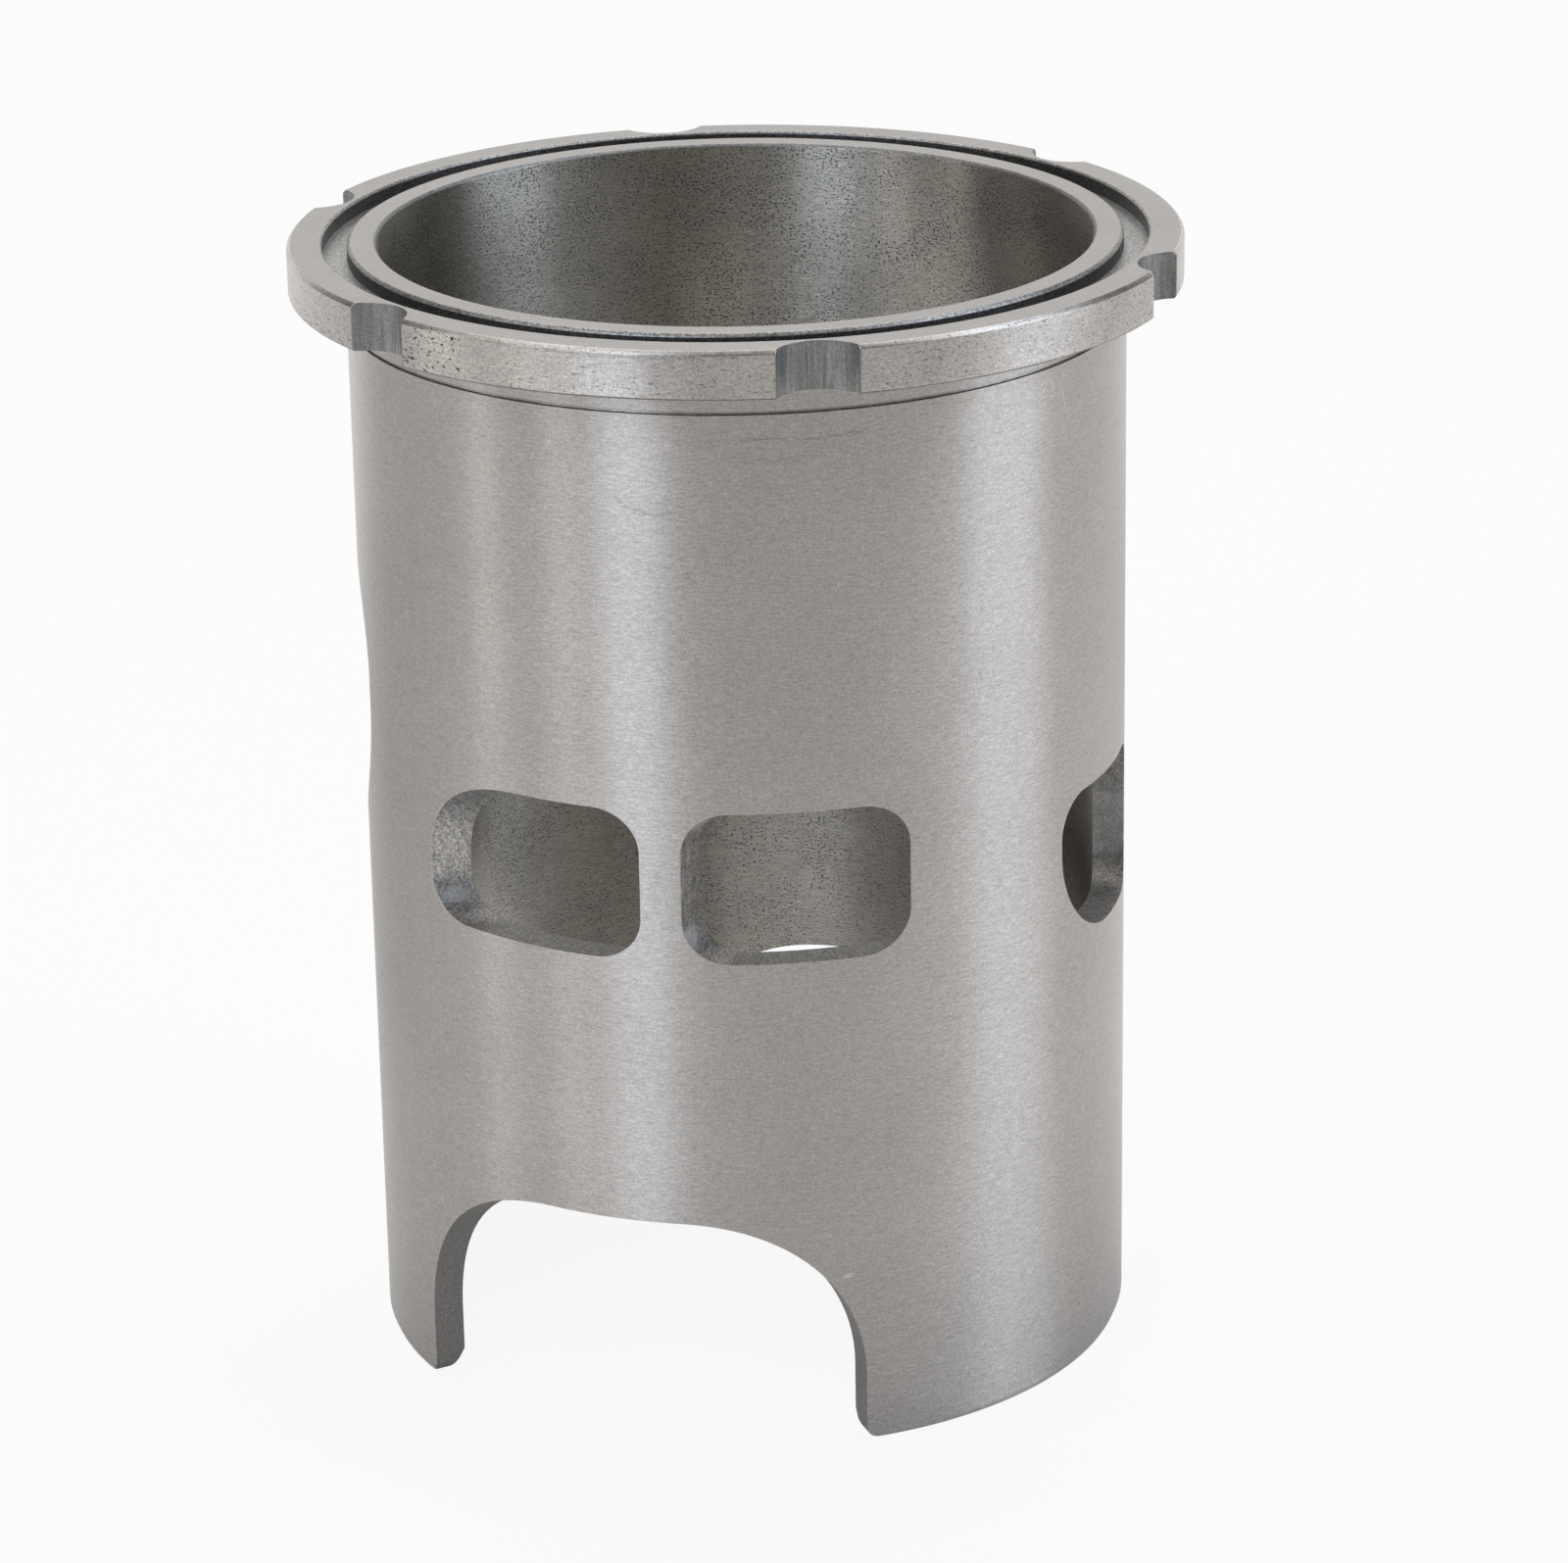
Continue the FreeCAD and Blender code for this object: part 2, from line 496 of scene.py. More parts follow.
class Graph:
    """Short way to add nodes to a material's or the world's node tree."""

    def __init__(self, tree: bpy.types.NodeTree) -> None:
        """Starts with an empty tree.

        Args:
            tree: the node tree.
        """
        self.tree = tree
        tree.nodes.clear()

    def add(self, kind: str, inputs: dict | None = None, **settings: object) -> bpy.types.Node:
        """Adds one node.

        Args:
            kind: the node's type, without the word ShaderNode.
            inputs: values or sockets for its inputs, by name or number.
            settings: attributes of the node.

        Returns:
            The node.
        """
        node = self.tree.nodes.new("ShaderNode" + kind)
        for name, value in settings.items():
            setattr(node, name, value)
        for name, value in (inputs or {}).items():
            if isinstance(value, Socket):
                self.tree.links.new(value, node.inputs[name])
            else:
                node.inputs[name].default_value = value
        return node

    def math(self, operation: str, *values: float | Socket) -> Socket:
        """Adds a Math node.

        Args:
            operation: the operation's name.
            values: numbers or sockets.

        Returns:
            The result's socket.
        """
        node = self.add("Math", dict(enumerate(values)), operation=operation)
        return node.outputs[0]

    def fit(self, value: Socket, spans: Span, smooth: bool = False) -> Socket:
        """Maps a value from one span to another, held at the ends.

        Args:
            value: the value's socket.
            spans: lowest and highest value in, then the values that they turn into.
            smooth: whether the change eases in and out.

        Returns:
            The result's socket.
        """
        kind = "SMOOTHSTEP" if smooth else "LINEAR"
        names = ("From Min", "From Max", "To Min", "To Max")
        inputs = {"Value": value, **dict(zip(names, spans))}
        return self.add("MapRange", inputs, interpolation_type=kind, clamp=True).outputs[0]

    def sway(self, noise: Socket, share: float, middle: Pair = NOISE_MIDDLE) -> Socket:
        """Turns a noise into a factor that sways about 1.

        Args:
            noise: the noise's socket.
            share: how far the factor goes from 1.
            middle: the noise's values at the lowest and at the highest factor.

        Returns:
            The factor's socket.
        """
        return self.fit(noise, (*middle, 1 - share, 1 + share))

    def blend(self, share: float | Socket, first: Tint, second: Tint, kind: str = "MIX") -> Socket:
        """Mixes two colours.

        Args:
            share: how much of the second colour shows.
            first: colour or socket.
            second: colour or socket.
            kind: the blend's name.

        Returns:
            The result's socket.
        """
        inputs = {0: share}
        for index, tint in ((6, first), (7, second)):
            inputs[index] = tint if isinstance(tint, Socket) else (*tint, 1.0)
        return self.add("Mix", inputs, data_type="RGBA", blend_type=kind).outputs[2]


@dataclass(frozen=True)
class Mark:
    """Local mark on a turned surface, as an ellipse on the unrolled surface.

    The angle is about Z in degrees, and the height, the half length and the half height are in
    millimetres. The tilt is in degrees, upwards along growing angles, and the core is the share
    of the ellipse that has the full strength.
    """

    angle: float
    height: float
    half_length: float
    half_height: float
    strength: float = 1.0
    tilt: float = 0.0
    core: float = 0.3

    def mask(self, graph: Graph, along: Socket) -> Socket:
        """Makes the mark's soft mask.

        Args:
            graph: the material's graph.
            along: the map that follows the lathe's marks.

        Returns:
            The mask's socket.
        """
        place = (math.radians(self.angle) * UNROLL_RADIUS, self.height * MM, 0.0)
        local = graph.add(
            "Mapping",
            {
                "Vector": along,
                "Location": place,
                "Rotation": (0.0, 0.0, math.radians(self.tilt)),
                "Scale": (self.half_length * MM, self.half_height * MM, 1.0),
            },
            vector_type="TEXTURE",
        ).outputs[0]
        far = graph.add("VectorMath", {0: local}, operation="LENGTH").outputs["Value"]
        return graph.fit(far, (self.core, 1.0, self.strength, 0.0), smooth=True)


def masks(graph: Graph, along: Socket, marks: tuple[Mark, ...]) -> Socket:
    """Adds up the masks of several marks.

    Args:
        graph: the material's graph.
        along: the map that follows the lathe's marks.
        marks: the marks, at least one.

    Returns:
        The sum's socket.
    """
    total = marks[0].mask(graph, along)
    for mark in marks[1:]:
        total = graph.math("ADD", total, mark.mask(graph, along))
    return total


@dataclass(frozen=True)
class IronFinish:
    """Bare cast iron as one machining step leaves it.

    Scales are features per metre, across and along the height of the unrolled surface. A speck
    or pit starts where its noise passes its limit, and is full where it is past it by its edge.
    The specks' limit sways by the clumping, and falls by the rise between two heights in metres.
    That of the pits falls by the drop where the surface is pitted. The colour of a face is
    scaled towards upward_painted_light by how far it faces upwards: painted light where the
    value is above 1, painted shade where it is below.
    """

    name: str
    colour: Colour
    roughness: float
    anisotropy: float = 0.0
    roughness_sway: float = 0.04
    grain: float = 0.1
    grain_scale: Pair = (800.0, 6500.0)
    broad_share: float = 0.25
    broad_size: float = 4.0
    bump: float = 0.1
    bump_distance: float = 0.00003
    mottle: float = 0.04
    mottle_scale: float = 110.0
    sand: float = 0.0
    sand_scale: float = 4500.0
    sand_middle: Pair = (0.35, 0.65)
    upward_painted_light: float = 1.0
    speck: float = 0.0
    speck_scale: Pair = (2300.0, 4200.0)
    speck_limit: float = 0.62
    speck_edge: float = 0.06
    speck_rise: float = 0.0
    rise_heights: Pair = (0.06, 0.1)
    clumping: float = 0.05
    clump_scale: Pair = (160.0, 220.0)
    pitted: tuple[Mark, ...] = ()
    pit_scale: Pair = (2100.0, 2700.0)
    pit_limit: float = 0.8
    pit_drop: float = 0.2
    pit_edge: float = 0.03
    pit_shade: float = 0.95
    flaw_roughness: float = 0.25
    flaw_depth: float = 1.5
    stains: tuple[Mark, ...] = ()
    stain_breaks: Span = (0.4, 0.58, 1.0, 0.25)
    # Pale marks: scratches, and a painted highlight where one is listed.
    scrapes_and_sheen: tuple[Mark, ...] = ()

    def streaks(self, graph: Graph, along: Socket, scale: Pair, detail: float) -> Socket:
        """Makes noise that is stretched along the lathe's marks.

        Args:
            graph: the material's graph.
            along: the map that follows the lathe's marks.
            scale: features per metre across and along the height.
            detail: how many finer layers the noise has.

        Returns:
            The noise's socket.
        """
        moved = graph.add("Mapping", {"Vector": along, "Scale": (*scale, 1.0)}).outputs[0]
        inputs = {"Vector": moved, "Scale": 1.0, "Detail": detail, "Roughness": 0.6}
        return graph.add("TexNoise", inputs).outputs[0]

    def tone(self, graph: Graph, lines: Socket, place: Socket) -> Socket:
        """Makes the bare metal's colour with its grain, its clouds and its sandy speckle, and with
        painted light and shade by how far a face faces upwards.

        Args:
            graph: the material's graph.
            lines: the grain.
            place: the Object coordinates.

        Returns:
            The colour's socket.
        """
        inputs = {"Vector": place, "Scale": self.mottle_scale, "Detail": 4.0}
        cloud = graph.add("TexNoise", inputs).outputs[0]
        shade = graph.math(
            "MULTIPLY", graph.sway(lines, self.grain), graph.sway(cloud, self.mottle)
        )
        if self.sand:
            inputs = {"Vector": place, "Scale": self.sand_scale, "Detail": 2.0, "Roughness": 0.7}
            grit = graph.add("TexNoise", inputs).outputs[0]
            sanded = graph.sway(grit, self.sand, self.sand_middle)
            shade = graph.math("MULTIPLY", shade, sanded)
        # Painted light and shade: the colour is scaled by how far the face faces upwards.
        if self.upward_painted_light != 1.0:
            upward = graph.add("Attribute", attribute_name="upward").outputs["Fac"]
            lit = graph.fit(upward, (0.0, 1.0, 1.0, self.upward_painted_light))
            shade = graph.math("MULTIPLY", shade, lit)
        grey = graph.add("CombineColor", {0: shade, 1: shade, 2: shade}).outputs[0]
        return graph.blend(1.0, self.colour, grey, "MULTIPLY")

    def flaws(self, graph: Graph, along: Socket) -> Socket | None:
        """Makes the mask of the graphite specks and of the casting pits.

        Args:
            graph: the material's graph.
            along: the map that follows the lathe's marks.

        Returns:
            The mask's socket, or None on a surface that has neither.
        """
        found = None
        if self.speck:
            dots = self.streaks(graph, along, self.speck_scale, 1.0)
            clumps = self.streaks(graph, along, self.clump_scale, 2.0)
            sparse, dense = self.speck_limit + self.clumping, self.speck_limit - self.clumping
            limit = graph.fit(clumps, (*NOISE_MIDDLE, sparse, dense))
            if self.speck_rise:
                height = graph.add("SeparateXYZ", {0: along}).outputs[1]
                rise = graph.fit(height, (*self.rise_heights, 0.0, self.speck_rise))
                limit = graph.math("SUBTRACT", limit, rise)
            over = graph.math("SUBTRACT", dots, limit)
            found = graph.fit(over, (0.0, self.speck_edge, 0.0, self.speck))
        if self.pitted:
            dots = self.streaks(graph, along, self.pit_scale, 2.0)
            drop = graph.math("MULTIPLY", masks(graph, along, self.pitted), self.pit_drop)
            over = graph.math("SUBTRACT", dots, graph.math("SUBTRACT", self.pit_limit, drop))
            holes = graph.fit(over, (0.0, self.pit_edge, 0.0, self.pit_shade))
            found = holes if found is None else graph.math("MAXIMUM", found, holes)
        return found

    def material(self) -> bpy.types.Material:
        """Makes the finish as a material with its own node tree.

        Returns:
            The material.
        """
        material = bpy.data.materials.new(self.name)
        material.use_nodes = True
        graph = Graph(material.node_tree)
        place = graph.add("TexCoord").outputs["Object"]
        along = graph.add("UVMap", uv_map="grain").outputs[0]
        fine = self.streaks(graph, along, self.grain_scale, 2.0)
        broad_scale = tuple(value / self.broad_size for value in self.grain_scale)
        broad = self.streaks(graph, along, broad_scale, 2.0)
        lines = graph.math(
            "ADD",
            graph.math("MULTIPLY", fine, 1 - self.broad_share),
            graph.math("MULTIPLY", broad, self.broad_share),
        )
        base = self.tone(graph, lines, place)
        smooth, coarse = self.roughness - self.roughness_sway, self.roughness + self.roughness_sway
        rough = graph.fit(lines, (*NOISE_MIDDLE, smooth, coarse))
        height = lines
        if self.stains:
            broken = graph.fit(fine, self.stain_breaks)
            smudged = graph.math("MULTIPLY", masks(graph, along, self.stains), broken)
            base = graph.blend(smudged, base, SMUDGE)
        # Pale marks: scratches, and on the ports a painted highlight.
        if self.scrapes_and_sheen:
            base = graph.blend(masks(graph, along, self.scrapes_and_sheen), base, SCRATCH_AND_SHEEN)
        dark = self.flaws(graph, along)
        if dark is not None:
            base = graph.blend(dark, base, GRAPHITE)
            rough = graph.math("ADD", rough, graph.math("MULTIPLY", dark, self.flaw_roughness))
            sunk = graph.math("MULTIPLY", dark, self.flaw_depth)
            height = graph.math("SUBTRACT", height, sunk)
        bump = graph.add(
            "Bump", {"Height": height, "Strength": self.bump, "Distance": self.bump_distance}
        )
        shader = graph.add(
            "BsdfPrincipled",
            {
                "Base Color": base,
                "Metallic": 1.0,
                "Roughness": rough,
                "Normal": bump.outputs[0],
                "Anisotropic": self.anisotropy,
                "Anisotropic Rotation": 0.25,
            },
        )
        if self.anisotropy:
            tangent = graph.add("Tangent", direction_type="RADIAL", axis="Z").outputs[0]
            graph.tree.links.new(tangent, shader.inputs["Tangent"])
        graph.add("OutputMaterial", {0: shader.outputs[0]})
        return material


@dataclass(frozen=True)
class FaceLimits:
    """Limits that tell the machined surfaces apart, by a face's place and normal.

    Lengths are in millimetres. The others are parts of the normal: upwards for level, sloping
    and mapped_level, and away from the axis for square, banded and leaning.
    """

    near: float = 0.1
    slack: float = 0.05
    level: float = 0.9
    sloping: float = 0.3
    mapped_level: float = 0.7
    square: float = 0.97
    banded: float = 0.85
    leaning: float = 0.5


@dataclass
class Liner:
    """The whole liner as one piece: its blank, its cutters and its finishes.

    Sizes are in millimetres, and the least angle of an edge that is broken is in degrees.
    """

    blank: TurnedBlank = field(default_factory=TurnedBlank)
    notches: StudNotches = field(default_factory=StudNotches)
    limits: FaceLimits = field(default_factory=FaceLimits)
    transfer_floor: float = 48.4
    transfer_roof: float = 62.7
    boost_width: float = 20.1
    boost_floor: float = 43.2
    boost_roof: float = 57.9
    exhaust_width: float = 41.3
    exhaust_floor: float = 48.4
    exhaust_roof: float = 79.0
    exhaust_facets: int = 24
    port_foot: float = 35.0
    weld_distance: float = 0.01
    edge_break: float = 0.06
    edge_facets: int = 2
    sharp_angle: float = 28.0
    finishes: dict[Surface, IronFinish] = field(default_factory=dict)

    def half_angle(self, width: float) -> float:
        """Angle between a port's middle and its side, on the barrel.

        Args:
            width: the port's width.

        Returns:
            The angle, in degrees.
        """
        return math.degrees(math.asin(width / 2 / self.blank.barrel_radius))

    def ports(self) -> list[Port]:
        """Lists the ports, in the order in which they are cut.

        Returns:
            The transfer ports, the boost port and the exhaust port.
        """
        transfer = (self.transfer_floor, self.transfer_roof)
        main = Port(
            "main_transfer",
            PortWall(-33.2, 67.0, 4.0, 8.5),
            PortWall(4.7, 22.0, 4.0, 4.0),
            *transfer,
        )
        second = Port(
            "second_transfer",
            PortWall(10.8, 11.0, 4.0, 4.0),
            PortWall(44.3, -10.0, 4.0, 4.0),
            *transfer,
        )
        boost_half = self.half_angle(self.boost_width)
        boost = Port(
            "boost",
            PortWall(90.0 - boost_half, -90.0, 9.5, 4.0),
            PortWall(90.0 + boost_half, -90.0, 4.0, 4.0),
            self.boost_floor,
            self.boost_roof,
        )
        exhaust_half = self.half_angle(self.exhaust_width)
        exhaust = Port(
            "exhaust",
            PortWall(-90.0 - exhaust_half, 90.0, 16.0, 12.0),
            PortWall(-90.0 + exhaust_half, 90.0, 16.0, 12.0),
            self.exhaust_floor,
            self.exhaust_roof,
            self.exhaust_facets,
        )
        return [main, second, main.mirrored(), second.mirrored(), boost, exhaust]

    def arches(self) -> list[SkirtArch]:
        """Returns the two skirt arches."""
        return [SkirtArch(-0.5), SkirtArch(180.5)]

    def cut(self, body: Piece) -> None:
        """Cuts notches, ports and arches out of the blank.

        Args:
            body: the blank.
        """
        cutters = [*self.notches.make(), *(port.make(self.blank) for port in self.ports())]
        for arch in self.arches():
            cutters.extend(arch.make(self.blank))
        for cutter in cutters:
            take_up(body)
            modifier = body.modifiers.new(cutter.name, "BOOLEAN")
            modifier.operation = "DIFFERENCE"
            modifier.solver = "EXACT"
            modifier.object = cutter
            bpy.ops.object.modifier_apply(modifier=modifier.name)
            bpy.data.objects.remove(cutter)

    def break_edges(self, body: Piece) -> None:
        """Breaks the sharp edges and evens out the shading of the large faces.

        The bevel may leave the liner's height by a rounding error, and is held within it.

        Args:
            body: the cut liner.
        """
        take_up(body)
        bpy.ops.object.mode_set(mode="EDIT")
        bpy.ops.mesh.select_all(action="SELECT")
        bpy.ops.mesh.remove_doubles(threshold=self.weld_distance * MM)
        bpy.ops.object.mode_set(mode="OBJECT")
        bevel = body.modifiers.new("broken_edges", "BEVEL")
        bevel.width = self.edge_break * MM
        bevel.segments = self.edge_facets
        bevel.limit_method = "ANGLE"
        bevel.angle_limit = math.radians(self.sharp_angle)
        bevel.use_clamp_overlap = False
        bevel.material = int(Surface.EDGE)
        apply_modifiers(body)
        for vertex in body.data.vertices:
            vertex.co.z = min(max(vertex.co.z, 0.0), self.blank.length * MM)
        bpy.ops.object.shade_smooth()
        evened = body.modifiers.new("evened_normals", "WEIGHTED_NORMAL")
        evened.mode = "FACE_AREA"
        evened.weight = 100
        evened.thresh = 0.01
        apply_modifiers(body)

    def surface_of(self, face: bpy.types.MeshPolygon) -> Surface:
        """Tells which machined surface a face belongs to.

        Args:
            face: the face.

        Returns:
            The kind of surface.
        """
        blank, limits = self.blank, self.limits
        place = face.center / MM
        rise = face.normal.z
        radius = math.hypot(place.x, place.y)
        outward = (face.normal.x * place.x + face.normal.y * place.y) / radius
        groove_start = blank.groove_inner - blank.groove_inner_break - limits.slack
        groove_end = blank.groove_outer + blank.groove_outer_break + limits.slack
        break_start = blank.flange_radius - blank.rim_top_break - limits.slack
        break_foot = blank.length - blank.rim_top_break - limits.slack
        if rise > limits.level and place.z > blank.length - limits.near:
            return Surface.DECK
        if place.z > blank.groove_floor - limits.near and groove_start < radius < groove_end:
            return Surface.EDGE if limits.sloping < rise < limits.level else Surface.GROOVE
        if outward > limits.square and radius > blank.flange_radius - limits.near:
            return Surface.RIM
        if outward > limits.leaning and radius > break_start and place.z > break_foot:
            return Surface.RIM
        if outward > limits.banded and place.z < blank.flange_foot:
            if radius > blank.relief_radius - limits.near:
                return Surface.BARREL
        if outward < -limits.square and radius < blank.bore_radius + limits.near:
            return Surface.BORE
        if outward < -limits.leaning and place.z < blank.lead_in_height:
            return Surface.BORE
        if place.z > blank.flange_foot - limits.near:
            return Surface.NOTCH
        return Surface.PORT if place.z > self.port_foot else Surface.ARCH

    def dress(self, body: Piece) -> None:
        """Gives every face its finish, and a map that follows the lathe's marks.

        Args:
            body: the finished mesh.
        """
        mesh = body.data
        mesh.materials.clear()
        for surface in Surface:
            mesh.materials.append(self.finishes[surface].material())
        while mesh.uv_layers:
            mesh.uv_layers.remove(mesh.uv_layers[0])
        # How far each face faces upwards, which the finishes use for painted light and shade.
        upward = mesh.attributes.new("upward", "FLOAT", "FACE")
        upward.data.foreach_set("value", [max(face.normal.z, 0.0) for face in mesh.polygons])
        layer = mesh.uv_layers.new(name="grain")
        for face in mesh.polygons:
            if face.material_index != int(Surface.EDGE):
                face.material_index = int(self.surface_of(face))
            middle = math.atan2(face.center.x, -face.center.y)
            level = abs(face.normal.z) > self.limits.mapped_level
            for index in face.loop_indices:
                point = mesh.vertices[mesh.loops[index].vertex_index].co
                turn = math.atan2(point.x, -point.y)
                turn -= round((turn - middle) / (2 * math.pi)) * 2 * math.pi
                rise = math.hypot(point.x, point.y) if level else point.z
                layer.data[index].uv = (turn * UNROLL_RADIUS, rise)

    def make(self) -> Piece:
        """Builds and dresses the liner, which stands for the CAD node.

        The material slots are there before the bevel, which puts its faces in that of the edges.

        Returns:
            The finished liner.
        """
        body = self.blank.make()
        self.cut(body)
        for face in body.data.polygons:
            face.material_index = 0
        for _ in Surface:
            body.data.materials.append(None)
        self.break_edges(body)
        self.dress(body)
        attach(body, "root")
        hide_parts("liner")
        LOG.info("%s: %d faces", body.name, len(body.data.polygons))
        return body


@dataclass(frozen=True)
class Lamp:
    """Softbox, in metres, with its azimuth in degrees given from the camera's side."""

    name: str
    azimuth: float
    distance: float
    height: float
    width: float
    tall: float
    radiance: float
    colour: Colour = (1.0, 1.0, 1.0)
    aim_height: float = 0.06

    def make(self, view_azimuth: float) -> None:
        """Adds the lamp, turned to the middle of the liner.

        Args:
            view_azimuth: azimuth of the camera, in degrees.
        """
        data = bpy.data.lights.new(self.name, "AREA")
        data.shape = "RECTANGLE"
        data.size = self.width
        data.size_y = self.tall
        data.energy = self.radiance * math.pi * self.width * self.tall
        data.color = self.colour
        lamp = bpy.data.objects.new(self.name, data)
        lamp.location = polar(self.distance, view_azimuth + self.azimuth, self.height)
        aim = Vector((0, 0, self.aim_height)) - lamp.location
        lamp.rotation_euler = aim.to_track_quat("-Z", "Y").to_euler()
        lamp.visible_camera = False
        bpy.context.scene.collection.objects.link(lamp)


@dataclass(frozen=True)
class FloorGrey:
    """Darker patch of the floor that shows in the metal only.

    Its place is given from the camera's side, in degrees and metres. It takes the share of its
    depth from the floor's white in its middle, and less and less out to its radius.
    """

    azimuth: float
    distance: float
    radius: float
    depth: float


@dataclass(frozen=True)
class Studio:
    """Pale floor, white background and soft light.

    The white sheet's end and the shade in the liner's foot each give two lengths on the floor, in
    metres, and the white at each. The backdrop lights and shows between the two values of its
    pairs, as cosines of the angle from straight behind the liner.
    """

    view_azimuth: float
    lamps: tuple[Lamp, ...]
    floor_size: float = 8.0
    floor_white: float = 0.9
    floor_colour: Colour = (0.82, 0.82, 0.82)
    sheet_end: Span = (0.18, 0.4, 1.0, 0.55)
    shade: Span = (0.033, 0.1, 0.15, 1.0)
    greys: tuple[FloorGrey, ...] = (
        FloorGrey(-132.0, 0.2, 0.21, 0.5), FloorGrey(155.0, 0.25, 0.17, 0.4)
    )
    room: float = 0.15
    room_colour: Colour = (1.0, 0.985, 0.965)
    backdrop: float = 1.0
    backdrop_lights: Pair = (0.62, 0.95)
    backdrop_shows: Pair = (0.68, 0.9)

    def shown(self, graph: Graph) -> Socket:
        """Tells rays that show a surface, straight or in metal or glass, from those that light.

        Args:
            graph: the graph of the floor or the world.

        Returns:
            The socket, 1 for a ray that shows the surface and otherwise 0.
        """
        path = graph.add("LightPath")
        mirrored = graph.math(
            "MAXIMUM", path.outputs["Is Glossy Ray"], path.outputs["Is Transmission Ray"]
        )
        return graph.math("MAXIMUM", path.outputs["Is Camera Ray"], mirrored)

    def floor(self) -> None:
        """Adds the floor, white where it shows, apart from the liner's shadow."""
        deselect()
        bpy.ops.mesh.primitive_plane_add(size=self.floor_size)
        piece = bpy.context.object
        piece.name = "floor"
        material = bpy.data.materials.new("pale_floor")
        material.use_nodes = True
        graph = Graph(material.node_tree)
        place = graph.add("TexCoord").outputs["Object"]
        front = tuple(polar(1.0, self.view_azimuth))
        ahead = graph.add("VectorMath", {0: place, 1: front}, operation="DOT_PRODUCT")
        sheet = graph.fit(ahead.outputs["Value"], self.sheet_end, smooth=True)
        away = graph.add("VectorMath", {0: place}, operation="LENGTH").outputs["Value"]
        mirrored = graph.add("LightPath").outputs["Is Glossy Ray"]
        shade = graph.math(
            "MAXIMUM",
            graph.fit(away, self.shade, smooth=True),
            graph.math("SUBTRACT", 1.0, mirrored),
        )
        for grey in self.greys:
            middle = tuple(polar(grey.distance, self.view_azimuth + grey.azimuth))
            off = graph.add("VectorMath", {0: place, 1: middle}, operation="DISTANCE")
            fade = (0.0, grey.radius, grey.depth, 0.0)
            taken = graph.fit(off.outputs["Value"], fade, smooth=True)
            kept = graph.math("SUBTRACT", 1.0, graph.math("MULTIPLY", taken, mirrored))
            sheet = graph.math("MULTIPLY", sheet, kept)
        white = graph.math("MULTIPLY", self.shown(graph), self.floor_white)
        share = graph.math("MULTIPLY", white, shade)
        matt = graph.add("BsdfDiffuse", {"Color": (*self.floor_colour, 1.0)}).outputs[0]
        glow = graph.add("Emission", {"Color": (1, 1, 1, 1), "Strength": sheet}).outputs[0]
        mixed = graph.add("MixShader", {0: share, 1: matt, 2: glow}).outputs[0]
        graph.add("OutputMaterial", {0: mixed})
        piece.data.materials.append(material)

    def surroundings(self) -> None:
        """Sets the world: a white backdrop behind the liner and a greyer room before it."""
        world = bpy.data.worlds.new("studio")
        bpy.context.scene.world = world
        world.use_nodes = True
        graph = Graph(world.node_tree)
        direction = graph.add("TexCoord").outputs["Generated"]
        back = -polar(1.0, self.view_azimuth)
        behind = graph.add(
            "VectorMath", {0: direction, 1: tuple(back)}, operation="DOT_PRODUCT"
        ).outputs["Value"]
        level = graph.fit(behind, (*self.backdrop_lights, self.room, self.backdrop))
        room = graph.add("Background", {"Color": (*self.room_colour, 1.0), "Strength": level})
        white = graph.add("Background", {"Color": (1, 1, 1, 1), "Strength": 1.0})
        backdrop = graph.fit(behind, (*self.backdrop_shows, 0.0, 1.0))
        seen = graph.math("MULTIPLY", self.shown(graph), backdrop)
        mixed = graph.add("MixShader", {0: seen, 1: room.outputs[0], 2: white.outputs[0]})
        graph.add("OutputWorld", {0: mixed.outputs[0]})

    def make(self) -> None:
        """Adds floor, background and lamps."""
        self.floor()
        self.surroundings()
        for lamp in self.lamps:
            lamp.make(self.view_azimuth)


@dataclass(frozen=True)
class PhotoCamera:
    """Camera at the photograph's angle, in metres and degrees."""

    azimuth: float = 20.4
    distance: float = 0.497945
    height: float = 0.236095
    pitch: float = 20.2344
    yaw: float = 0.4159
    roll: float = 0.9727
    lens: float = 127.72

    def make(self) -> None:
        """Adds the camera and makes it the scene's."""
        pitch, yaw, roll = (math.radians(value) for value in (self.pitch, self.yaw, self.roll))
        ahead = Vector((
            math.sin(yaw) * math.cos(pitch), math.cos(yaw) * math.cos(pitch), -math.sin(pitch)
        ))
        level = Vector((math.cos(yaw), -math.sin(yaw), 0.0))
        down = ahead.cross(level)
        right = level * math.cos(roll) + down * math.sin(roll)
        low = down * math.cos(roll) - level * math.sin(roll)
        turn = Matrix.Rotation(math.radians(self.azimuth), 3, "Z")
        axes = Matrix((turn @ right, turn @ -low, turn @ -ahead)).transposed()
        data = bpy.data.cameras.new("photo_camera")
        data.sensor_width = 36.0
        data.sensor_fit = "HORIZONTAL"
        data.lens = self.lens
        data.clip_start = 0.01
        data.clip_end = 50.0
        camera = bpy.data.objects.new("photo_camera", data)
        place = polar(self.distance, self.azimuth, self.height)
        camera.matrix_world = Matrix.Translation(place) @ axes.to_4x4()
        bpy.context.scene.collection.objects.link(camera)
        bpy.context.scene.camera = camera


